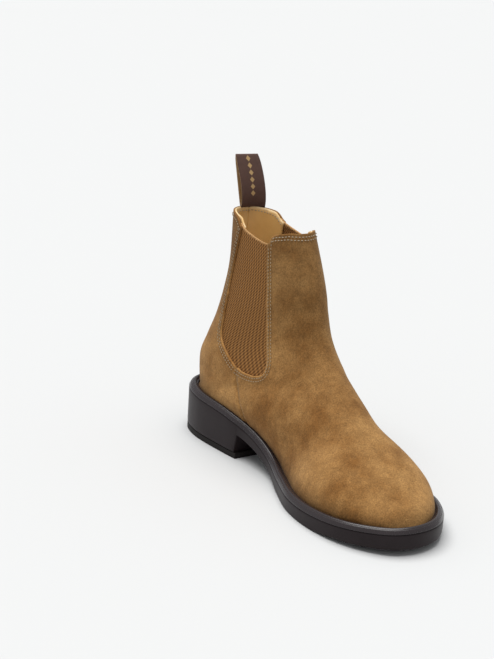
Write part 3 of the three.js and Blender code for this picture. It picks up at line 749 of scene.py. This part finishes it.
def vamp_pattern():
    """Outline of the front panel, from the ridge down the inner side, round the toe and back."""
    front = below_collar(gore_front)[::-1]
    edge = np.vstack([collar_between(FRONT_TOP - 0.05, front[0, 0], 40), front,
                      side_seam[1:seam_foot]])
    half = pattern(edge, -1, False)
    half[0, 0] = 0
    u = np.linspace(U_SEAM, 1, 120) * DOWN
    foot = np.stack([np.full_like(u, -ACROSS), u], 1)
    inner = np.vstack([half, foot])
    return np.vstack([inner, (inner * (-1, 1))[::-1][:-1]])


def back_seam(side_u):
    """How far the back seam lies off the last's own back line, across a pattern."""
    u = np.asarray(side_u, float)
    rows = RINGS[0.0]
    grid = np.linspace(0, 1, LAST_STEPS)
    half = np.interp(u, grid, rows[:, 6])
    p = np.interp(u, grid, rows[:, 7])
    q = np.interp(u, grid, rows[:, 8])
    off = (SEAM_TOP - SHAFT_LEAN) * np.clip(1 - 2 * u, 0, 1)
    full = (1 - (1 - (off / half) ** q) ** (1 / p)) / 2
    return np.arccos(np.clip(1 - 2 * full, -1, 1)) / np.pi


def quarter_pattern(side, gap=0.12):
    """Outline of a back panel: down the back seam, along the sole, up the side seam and gore."""
    back = below_collar(gore_back)
    edge = np.vstack([collar_between(BACK_TOP + 0.05, back[0, 0], 30), back,
                      side_seam[1:seam_foot]])
    top = pattern(edge, side, True)
    u0 = top[0, 1] / DOWN
    u = np.linspace(U_SEAM, 0.5, 60)
    foot = np.stack([np.zeros_like(u), u * DOWN], 1)
    u = np.linspace(0.5, u0, 60)[1:]
    seam = np.stack([back_seam(u) * ACROSS - side * gap, u * DOWN], 1)
    reach = seam[-1, 0]
    if side > 0:
        top = top[top[:, 0] > reach + 0.5]
    else:
        top[0, 0] = 0
        extra = np.linspace(0, reach, 6)[::-1][:-1]
        top = np.vstack([np.stack([extra, np.full_like(extra, top[0, 1])], 1), top])
    return np.vstack([top, foot, seam[:-1]])


def panel_sheet(outline_points, step, place):
    """A sheet cut to a pattern, filled with an even net, and laid where place says."""
    ring = resampled(np.vstack([outline_points, outline_points[:1]]), step)[:-1]
    low, high = ring.min(0), ring.max(0)
    row_step = step * 0.87
    gx, gy = np.meshgrid(np.arange(low[0], high[0], step), np.arange(low[1], high[1], row_step))
    gx[1::2] += step / 2
    net = np.stack([gx.ravel(), gy.ravel()], 1)
    inside = np.zeros(len(net), bool)
    for (x0, y0), (x1, y1) in zip(ring, np.roll(ring, -1, 0)):
        cross = (y0 > net[:, 1]) != (y1 > net[:, 1])
        with np.errstate(divide="ignore", invalid="ignore"):
            inside ^= cross & (net[:, 0] < (x1 - x0) * (net[:, 1] - y0) / (y1 - y0) + x0)
    net = net[inside & (path_distance(net, ring) > 0.62 * step)]
    points = np.vstack([ring, net])
    count = len(ring)
    edges = [(k, (k + 1) % count) for k in range(count)]
    corners = [Vector(p) for p in points]
    cut = delaunay_2d_cdt(corners, edges, [list(range(count))], 1, 1e-6)
    flat = np.array([tuple(p) for p in cut[0]])
    bm = bmesh.new()
    verts = [bm.verts.new(p) for p in place(flat[:, 0] / ACROSS, flat[:, 1] / DOWN) * 0.001]
    for face in cut[2]:
        bm.faces.new([verts[k] for k in face])
    layer = bm.loops.layers.uv.new("pattern")
    bm.verts.index_update()
    for face in bm.faces:
        for loop in face.loops:
            loop[layer].uv = flat[loop.vert.index] * 0.001
    return bm


def laid(from_back, depth):
    """Lays pattern points on the last at a depth."""

    def place(across, u):
        if from_back:
            return on_last(u, np.sign(across), np.abs(across), depth)
        return on_last(u, np.sign(across), 1 - np.abs(across), depth)

    return place


def outward(obj, turned=False):
    """Turns a panel's faces away from the leg, or towards it."""
    n = np.empty(len(obj.data.polygons) * 3)
    c = np.empty_like(n)
    obj.data.polygons.foreach_get("normal", n)
    obj.data.polygons.foreach_get("center", c)
    n, c = n.reshape(-1, 3), c.reshape(-1, 3)
    middle = np.array([SHAFT_LEAN * 0.0008, 0.0, 0.04])
    out = c - middle
    out[:, 1] = np.where(c[:, 2] > 0.09, c[:, 1] - 0.09, out[:, 1] * 0.2)
    out[:, 2] *= 0.5
    if ((n * out).sum() < 0) != turned:
        obj.data.flip_normals()


def panel(name, points, from_back, depth, thickness, finish, step=1.7):
    """A cut panel laid on the last and given its thickness inwards."""
    obj = piece(name, panel_sheet(points, step, laid(from_back, depth)), finish=finish)
    outward(obj)
    return thickened(obj, thickness)


CLEAR_BEHIND = 40.0
CLEAR_AHEAD = 90.0
LOOP_ENDS = np.array(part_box("pull_loop_ends")) * 1000


def under_collar(co):
    """How far points of the last lie below the collar line."""
    return np.interp(Y_HEEL - co[:, 1], collar[:, 0], collar[:, 1]) - co[:, 2]


def rimmed(obj):
    """Stores 1 along a panel's top edge, falling to 0 below it."""
    co = np.array([v.co for v in obj.data.vertices]) * 1000
    store(obj, "rim", np.exp(-under_collar(co) ** 2))


def lining_laid(from_back):
    """Lays the lining, with its top edge pasted to the suede before and behind the gores."""

    def place(across, u):
        rise = np.abs(across) if from_back else 1 - np.abs(across)
        deep = on_last(u, np.sign(across), rise, LINING_OUT)
        near = on_last(u, np.sign(across), rise, GORE_DEPTH)
        s = Y_HEEL - deep[:, 1]
        clear = np.clip((CLEAR_BEHIND - s) / 4, 0, 1) + np.clip((s - CLEAR_AHEAD) / 4, 0, 1)
        beside = np.maximum(LOOP_ENDS[0, :2] - deep[:, :2], deep[:, :2] - LOOP_ENDS[1, :2])
        clear *= np.clip(np.linalg.norm(np.maximum(0, beside), axis=1) / 4 - 0.4, 0, 1)
        share = 0.5 * clear * np.exp(-(np.maximum(0, under_collar(deep)) / 3.5) ** 2)
        return deep + (near - deep) * share[:, None]

    return place


for name, points, from_back in (
    ("vamp_lining", vamp_pattern(), False),
    ("quarter_lining_medial", quarter_pattern(-1), True),
    ("quarter_lining_lateral", quarter_pattern(1), True),
):
    obj = piece(name + "_calf", panel_sheet(points, 2.0, lining_laid(from_back)),
                finish=CALF)
    outward(obj, turned=True)
    rimmed(obj)
    thickened(obj, LINING)
    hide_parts(name)

# ---- Elastic gores ----
# A panel of ribbed brown elastic on each side, sewn in behind the suede. Its ribs run down the
# leg, with a fine twill across them, and its top edge is woven closed.
GORE = 1.2
SEWN_MARGIN = 5.0
RIB_STEP = 0.0024
TWILL_DROP = 0.0030
gore_window = np.vstack([gore_front, gore_back[:-1]])


def gore_pattern(side):
    """Outline of the elastic, with the margin that runs in behind the suede."""
    ring = moved(resampled(gore_window, 2.0), SEWN_MARGIN)
    under = ring[:, 1] <= np.interp(ring[:, 0], collar[:, 0], collar[:, 1])
    first = np.nonzero(under & ~np.roll(under, 1))[0][0]
    ring = np.roll(ring, -first, 0)
    ring = ring[: int(under.sum())]
    top = collar_between(ring[-1, 0], ring[0, 0], 24)[1:-1]
    return pattern(np.vstack([ring, top]), side, True)


def elastic():
    material, tree, shader = finish_of("elastic", 0.9, Specular_IOR_Level=0.2)
    x, y = sheet_axes(tree, "pattern")

    def stripes(across, down):
        run = maths(tree, "MULTIPLY_ADD", y, down, maths(tree, "MULTIPLY", x, across))
        return maths(tree, "SINE", run)

    per_rib = 2 * math.pi / RIB_STEP
    twill = stripes(per_rib, -2 * math.pi / TWILL_DROP)
    height = maths(tree, "MULTIPLY_ADD", twill, 1.3, stripes(per_rib, 0))
    deep = mottled(tree, (0.078, 0.031, 0.0072), (0.108, 0.044, 0.0110), 60.0, 1.5)
    # The weave's grooves take the darker mottled colour and its raised ribs a lighter one: painted
    # shade over the elastic's own mottled tone.
    weave_with_painted_shade = blended(tree, remapped(tree, height, -2.2, 2.2), deep, (0.34, 0.157, 0.045))
    woven = blended(tree, stored(tree, "rim"), weave_with_painted_shade, (0.52, 0.30, 0.13))
    tree.links.new(woven, shader.inputs["Base Color"])
    bumped(tree, shader, height, 0.0002, 0.8)
    return material


ELASTIC = elastic()
for side, name in ((-1, "medial"), (1, "lateral")):
    gore = panel("gore_" + name + "_elastic", gore_pattern(side), True, GORE_DEPTH, GORE,
                 ELASTIC)
    rimmed(gore)
    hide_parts("gore_" + name)

# ---- Suede panels ----
# Tan-brown suede in three cut panels: one over the foot and up the shin, and two round the heel,
# joined at the heel and under each gore. Edges beside the elastic and at the top are left raw.


def suede():
    material, tree, shader = finish_of("suede", 0.92, Sheen_Weight=0.10, Sheen_Roughness=0.4,
                                       Sheen_Tint=(0.95, 0.78, 0.55, 1), Specular_IOR_Level=0.2)
    broad = mottled(tree, (0.195, 0.086, 0.021), (0.362, 0.194, 0.066), 22.0, 3.8)
    lie = add_node(tree, "ShaderNodeMapping", {"Scale": (1.0, 1.0, 0.8)})
    tree.links.new(object_space(tree), lie.inputs["Vector"])
    small = noise(tree, 170.0, 6.0, 0.7, lie.outputs["Vector"])
    nap = noise(tree, 950.0, 4.0, 0.7, lie.outputs["Vector"])
    foot = stored(tree, "foot")
    tone = remapped(tree, small, 0.3, 0.7, 0.84, 1.14)
    fibres = remapped(tree, nap, 0.3, 0.7, 0.62, 1.38)
    raw = remapped(tree, stored(tree, "edge"), 0.3, 1.1, 1.5, 1.0)
    # The suede darkens towards the sole, to half its tone where it meets it.
    darker_near_sole = remapped(tree, foot, 0.0, 16.0, 0.5, 1.0)
    # Higher up the shaft the suede is darkened to 0.72 of its tone, from 50 to 120 mm off the sole:
    # painted shade on the upright shaft, together with the suede's own darker tone there.
    shaft_shade_and_tone = remapped(tree, foot, 50.0, 120.0, 1.0, 0.72)
    for share in (fibres, raw, darker_near_sole, shaft_shade_and_tone):
        tone = maths(tree, "MULTIPLY", tone, share)
    paint = add_node(tree, "ShaderNodeVectorMath", operation="SCALE")
    tree.links.new(broad, paint.inputs[0])
    tree.links.new(tone, paint.inputs["Scale"])
    tree.links.new(paint.outputs["Vector"], shader.inputs["Base Color"])
    height = maths(tree, "MULTIPLY_ADD", nap, 0.5, small)
    bumped(tree, shader, height, 0.0006, 0.55)
    return material


SUEDE_FINISH = suede()


def placed(curve, side):
    """A side-view curve laid on the last, in millimetres."""
    u, rise = find_on_last(*np.asarray(curve).T).T
    return on_last(u, side, rise, 0.0)


foot_line = np.vstack([
    on_last(np.linspace(0.5, 1, 200), side, 0, 0.0) for side in (-1, 1)
])
seam_lines = {side: placed(resampled(side_seam[:seam_foot], 1.0), side) for side in (-1, 1)}
back_u = np.linspace(0.02, 0.5, 160)
back_line = on_last(back_u, 1, back_seam(back_u), 0.0)
raw_lines = np.vstack([
    placed(resampled(part, 1.2), side)
    for side in (-1, 1)
    for part in (below_collar(gore_front), below_collar(gore_back),
                 collar_between(BACK_TOP + 0.1, FRONT_TOP - 0.1, 90))
])


def worked(obj):
    """Stores where a suede panel's edges lie, and draws its seams and stitch rows in."""
    mesh = obj.data
    co = np.empty(len(mesh.vertices) * 3)
    normal = np.empty_like(co)
    mesh.vertices.foreach_get("co", co)
    mesh.vertices.foreach_get("normal", normal)
    co, normal = co.reshape(-1, 3) * 1000, normal.reshape(-1, 3)
    raw = path_distance(co, raw_lines)
    sole = path_distance(co, foot_line)
    seam = np.minimum(path_distance(co, np.vstack(list(seam_lines.values()))),
                      path_distance(co, back_line))
    store(obj, "edge", raw)
    store(obj, "foot", sole)
    swell = 0.35 * np.sin(co[:, 1] * 0.11 + 1.3) * np.sin(co[:, 2] * 0.13 + co[:, 0] * 0.09)
    drawn = -0.6 * np.exp(-(seam / 1.2) ** 2) + 0.35 * np.exp(-((seam - 3.2) / 1.5) ** 2)
    rows = -0.22 * np.exp(-((raw - 3.3) / 1.1) ** 2)
    inward = -0.5 + 0.25 * swell + drawn * np.minimum(1, sole / 3) + rows
    inward = np.maximum(np.minimum(inward, 0.3), -1.3)
    co += normal * inward[:, None] * np.minimum(1, sole / 2)[:, None]
    mesh.vertices.foreach_set("co", (co * 0.001).ravel())
    mesh.update()


for name, points, from_back in (
    ("vamp", vamp_pattern(), False),
    ("quarter_medial", quarter_pattern(-1), True),
    ("quarter_lateral", quarter_pattern(1), True),
):
    obj = panel(name + "_suede", points, from_back, 0.0, SUEDE, SUEDE_FINISH, 1.5)
    worked(obj)
    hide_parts(name)

# ---- Stitching ----
# Two rows of thread follow each gore's edge and the top of the front panel. One row holds the
# top of the back panels and the lining.
STITCH = 2.1
GAP = 0.65
THREAD_HALF = 0.4
THREAD_DEPTH = 0.4
INNER_ROW = 2.0
OUTER_ROW = 4.4
PATH_STEP = 0.25
THREAD = plain("thread", (0.36, 0.26, 0.155), 0.7, grain=0.00005, scale=2500.0)
PALE_THREAD = plain("pale_thread", (0.42, 0.34, 0.24), 0.7, grain=0.00005, scale=2500.0)


def row_path(curve, side, depth):
    """A side-view curve on the last at a depth, as points with their outward directions."""
    u, rise = find_on_last(*np.asarray(curve).T).T
    middle = on_last(u, side, rise, depth)
    out = on_last(u, side, rise, 0.0) - on_last(u, side, rise, GORE_DEPTH)
    return np.hstack([middle, out * 0.001])


def stitch_row(bm, rows):
    """Adds a row of stitches along one path, or along two that meet."""
    both = resampled(np.vstack(rows), PATH_STEP)
    path, out = both[:, :3], both[:, 3:]
    per = int(round((STITCH + GAP) / PATH_STEP))
    for k in range(per // 2, len(path) - per // 2, per):
        ahead = Vector(path[k + 4] - path[k - 4]).normalized()
        across = ahead.cross(Vector(out[k])).normalized()
        turn = Matrix((across, ahead, across.cross(ahead))).transposed().to_4x4()
        size = Matrix.Diagonal((THREAD_HALF, STITCH / 2, THREAD_HALF, 1))
        place = Matrix.Translation(path[k] * 0.001) @ turn @ Matrix.Scale(0.001, 4) @ size
        bmesh.ops.create_icosphere(bm, subdivisions=1, radius=1.0, matrix=place)


def window_row(by, part):
    """The gore window's edge moved out into the suede: its front and foot, or its back."""
    ring = moved(resampled(gore_window, 1.5), by)
    split = len(resampled(gore_front, 1.5))
    keep = ring[:split] if part == "front" else ring[split:]
    return keep[keep[:, 1] < np.interp(keep[:, 0], collar[:, 0], collar[:, 1]) - 2.0]


def collar_row(s0, s1, under):
    s = s0 + (s1 - s0) * np.sin(np.linspace(0, np.pi / 2, 120))
    row = np.stack([s, np.interp(s, collar[:, 0], collar[:, 1])], 1)
    row[:, 1] -= under
    return row


def both_sides(curve, depth):
    """A row that runs up one side and down the other, over the ridge or round the heel."""
    return row_path(curve, -1, depth), row_path(curve, 1, depth)[::-1]


back_split = float(gore_back[np.abs(gore_back[:, 1] - 180).argmin(), 0])
front_split = 0.292 * SOLE_LENGTH
edge_rows = bmesh.new()
for side in (-1, 1):
    for by in (INNER_ROW, OUTER_ROW):
        for part in ("front", "back"):
            stitch_row(edge_rows, [row_path(window_row(by, part), side, THREAD_DEPTH)])
stitch_row(edge_rows, both_sides(collar_row(back_split - 1, BACK_TOP - 0.3, 3.0), THREAD_DEPTH))
piece("edge_stitches", edge_rows, finish=THREAD)
collar_rows = bmesh.new()
for under in (2.6, 5.0):
    row = collar_row(front_split, FRONT_TOP + under * 0.6 + 0.2, under)
    stitch_row(collar_rows, both_sides(row, THREAD_DEPTH))
piece("collar_stitches", collar_rows, finish=PALE_THREAD)
lining_rows = bmesh.new()
row = collar_row(back_split - 2, BACK_TOP + 2.5, 3.2)
stitch_row(lining_rows, both_sides(row, LINING_OUT + 0.1))
piece("lining_stitches", lining_rows, finish=PALE_THREAD)

# ---- Pull loop ----
# A dark brown twill tape folded over at the top, with both ends sewn in at the heel. A column
# of small gold diamonds is woven up its middle, and its reverse is gold-brown.
LOOP_WIDTH = 20.0
LOOP_HEIGHT = 43.2
LOOP_DEPTH = 12.0
LOOP_LEAN = 6.6
LOOP_TURN = 18.0
LOOP_UNTWIST = 3.0
TAPE = 1.0
TAPE_CELLS = 16
LOOP_FOOT = np.array(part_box("pull_loop")).mean(0) * 1000
LOOP_FOOT[2] = COLLAR_HEIGHT - 0.5


def tape_path(count=90):
    """The tape's middle line from the front foot over the fold to the back foot."""
    t = np.linspace(0, 1, count)
    high = np.where(t < 0.5, 2 * t, 2 - 2 * t)
    share = 1 - (1 - high) ** 1.05
    spread = np.sin(np.pi * np.clip(share, 0, 1) ** 0.75) ** 0.8 * (LOOP_DEPTH / 2 - 0.8)
    forward = np.where(t < 0.5, spread, -spread) + np.where(t < 0.5, 0.5, -0.5) * (1 - share)
    return np.stack([forward, share * (LOOP_HEIGHT + 0.4)], 1)


def tape_place(path):
    def place(u, v):
        at = v * (len(path) - 1)
        forward = np.interp(at, np.arange(len(path)), path[:, 0])
        up = np.interp(at, np.arange(len(path)), path[:, 1])
        a = np.maximum(0, up) / LOOP_HEIGHT
        w = (u - 0.5) * LOOP_WIDTH * (1 - 0.07 * np.clip(a, 0, 1) ** 14)
        turn = np.radians(LOOP_TURN - LOOP_UNTWIST * a)
        bow = (2.4 * (2 * w / LOOP_WIDTH) ** 2 - 1.2) * (1 - a) ** 2
        lean = LOOP_LEAN * a**1.7
        x = LOOP_FOOT[0] - forward * np.sin(turn) + w * np.cos(turn) - lean * 0.83
        y = LOOP_FOOT[1] - forward * np.cos(turn) - w * np.sin(turn) - bow + lean * 0.56
        return np.stack([x, y, LOOP_FOOT[2] + up], 1)

    return place


# Metres along the tape: the weave, and the column of diamonds on the loop's front
TWILL_STEP = 0.0011
PICK_STEP = 0.0008
DIAMOND_STEP = 0.0056
DIAMOND_HALF = 0.0020
DIAMONDS_MIDDLE = 0.028
DIAMONDS_REACH = 0.0168


def tape():
    material, tree, shader = finish_of("woven_tape", 0.8, Sheen_Weight=0.1)
    x, y = sheet_axes(tree, "tape")

    def op(operation, *values, clamp=False):
        return maths(tree, operation, *values, clamp=clamp)

    twill = 2 * math.pi / TWILL_STEP
    slant = op("MULTIPLY_ADD", x, twill, op("MULTIPLY", y, twill))
    weave = op("SINE", slant)
    picks = op("SINE", op("MULTIPLY", y, 2 * math.pi / PICK_STEP))
    height = op("MULTIPLY_ADD", picks, 0.4, weave)
    share = op("FRACT", op("DIVIDE", y, DIAMOND_STEP))
    cell = op("ABSOLUTE", op("SUBTRACT", share, 0.5))
    off = op("ABSOLUTE", op("SUBTRACT", x, LOOP_WIDTH * 0.0005))
    reach = op("ADD", op("MULTIPLY", cell, 2.2), op("DIVIDE", off, DIAMOND_HALF))
    diamond = op("MULTIPLY", op("SUBTRACT", 1.0, reach), 8.0, clamp=True)
    from_middle = op("ABSOLUTE", op("SUBTRACT", y, DIAMONDS_MIDDLE))
    middle = op("LESS_THAN", from_middle, DIAMONDS_REACH)
    motif = op("MULTIPLY", diamond, middle)
    front = mottled(tree, (0.060, 0.026, 0.018), (0.095, 0.043, 0.030), 200.0, 2.0)
    # The tape's raised threads are painted lighter and the hollows between them darker: painted
    # shade of the weave over the tape's own dark brown.
    lifted = op("MULTIPLY_ADD", height, 0.25, 0.4, clamp=True)
    weave_with_painted_shade = blended(tree, lifted, front, (0.118, 0.054, 0.036))
    gold = blended(tree, motif, weave_with_painted_shade, (0.52, 0.33, 0.14))
    both = blended(tree, stored(tree, "reverse"), gold, (0.36, 0.21, 0.085))
    tree.links.new(both, shader.inputs["Base Color"])
    bumped(tree, shader, op("ADD", height, motif), 0.00012, 0.8)
    return material


def pull_loop():
    """Both faces of the tape, closed along its selvedges."""
    path = tape_path()
    normal = np.gradient(path, axis=0)
    normal /= np.linalg.norm(normal, axis=1)[:, None]
    side = np.stack([normal[:, 1], -normal[:, 0]], 1)
    bm = bmesh.new()
    for by in (TAPE / 2, -TAPE / 2):
        joined(bm, grid_mesh(TAPE_CELLS, len(path) - 1, tape_place(path + side * by)))
    along = np.r_[0, np.cumsum(np.linalg.norm(np.diff(path, axis=0), axis=1))]
    uv = bm.loops.layers.uv.new("tape")
    back = bm.verts.layers.float.new("reverse")
    bm.verts.index_update()
    count = len(bm.verts) // 2
    for v in bm.verts:
        v[back] = 0.0 if v.index < count else 1.0
    for face in bm.faces:
        for loop in face.loops:
            row, column = divmod(loop.vert.index % count, TAPE_CELLS + 1)
            loop[uv].uv = (column / TAPE_CELLS * LOOP_WIDTH * 0.001, along[row] * 0.001)
    rims = [e for e in bm.edges if e.is_boundary]
    bmesh.ops.bridge_loops(bm, edges=rims)
    return bm


TAPE_FINISH = tape()
loop = piece("pull_loop_tape", pull_loop(), body="loop", finish=TAPE_FINISH)
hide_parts("pull_loop")
dress("pull_loop_ends", plain("tape_ends", (0.085, 0.038, 0.025), 0.85))

# ---- Floor, light and camera ----
# A pale sweep under a broad soft light from above. The camera looks down a little at the boot's
# inner side and its toe.


def pale(name, colour):
    material, tree, shader = finish_of(name, 0.9)
    tint = mottled(tree, colour, [c * 1.01 for c in colour], 3.0, 0.4)
    tree.links.new(tint, shader.inputs["Base Color"])
    return material


sweep = bmesh.new()
bmesh.ops.create_grid(sweep, x_segments=2, y_segments=2, size=12.0)
floor_mesh = bpy.data.meshes.new("floor")
sweep.to_mesh(floor_mesh)
sweep.free()
floor_mesh.materials.append(pale("floor", (0.615, 0.620, 0.620)))
floor = bpy.data.objects.new("floor", floor_mesh)
bpy.context.collection.objects.link(floor)

world = bpy.data.worlds.new("studio")
bpy.context.scene.world = world
world.use_nodes = True
sky = world.node_tree.nodes["Background"]
sky.inputs["Color"].default_value = (0.97, 0.985, 1.0, 1)
sky.inputs["Strength"].default_value = 0.5

lamp = bpy.data.lights.new("overhead", "SUN")
lamp.energy = 3.2
lamp.angle = math.radians(55)
lamp.color = (1.0, 0.995, 0.985)
overhead = bpy.data.objects.new("overhead", lamp)
bpy.context.collection.objects.link(overhead)
overhead.rotation_euler = Vector((0.08, -0.16, -1)).to_track_quat("-Z", "Y").to_euler()

camera = bpy.data.cameras.new("camera")
camera.sensor_fit = "VERTICAL"
camera.sensor_height = 36.0
camera.lens = 109.25645
camera.dof.use_dof = False
view = bpy.data.objects.new("camera", camera)
bpy.context.collection.objects.link(view)
YAW, PITCH, ROLL = -0.59314, 0.32272, 0.06464
TARGET = Vector((-0.0656, 0, 0.13282))
DISTANCE = 1.49408
back = Vector((math.sin(YAW) * math.cos(PITCH), -math.cos(YAW) * math.cos(PITCH), math.sin(PITCH)))
level = Vector((0, 0, 1)).cross(back).normalized()
upright = back.cross(level)
right = level * math.cos(ROLL) + upright * math.sin(ROLL)
up = upright * math.cos(ROLL) - level * math.sin(ROLL)
turn = Matrix((right, up, back)).transposed().to_4x4()
view.matrix_world = Matrix.Translation(TARGET + back * DISTANCE) @ turn
bpy.context.scene.camera = view
bpy.context.scene.view_settings.view_transform = "Standard"
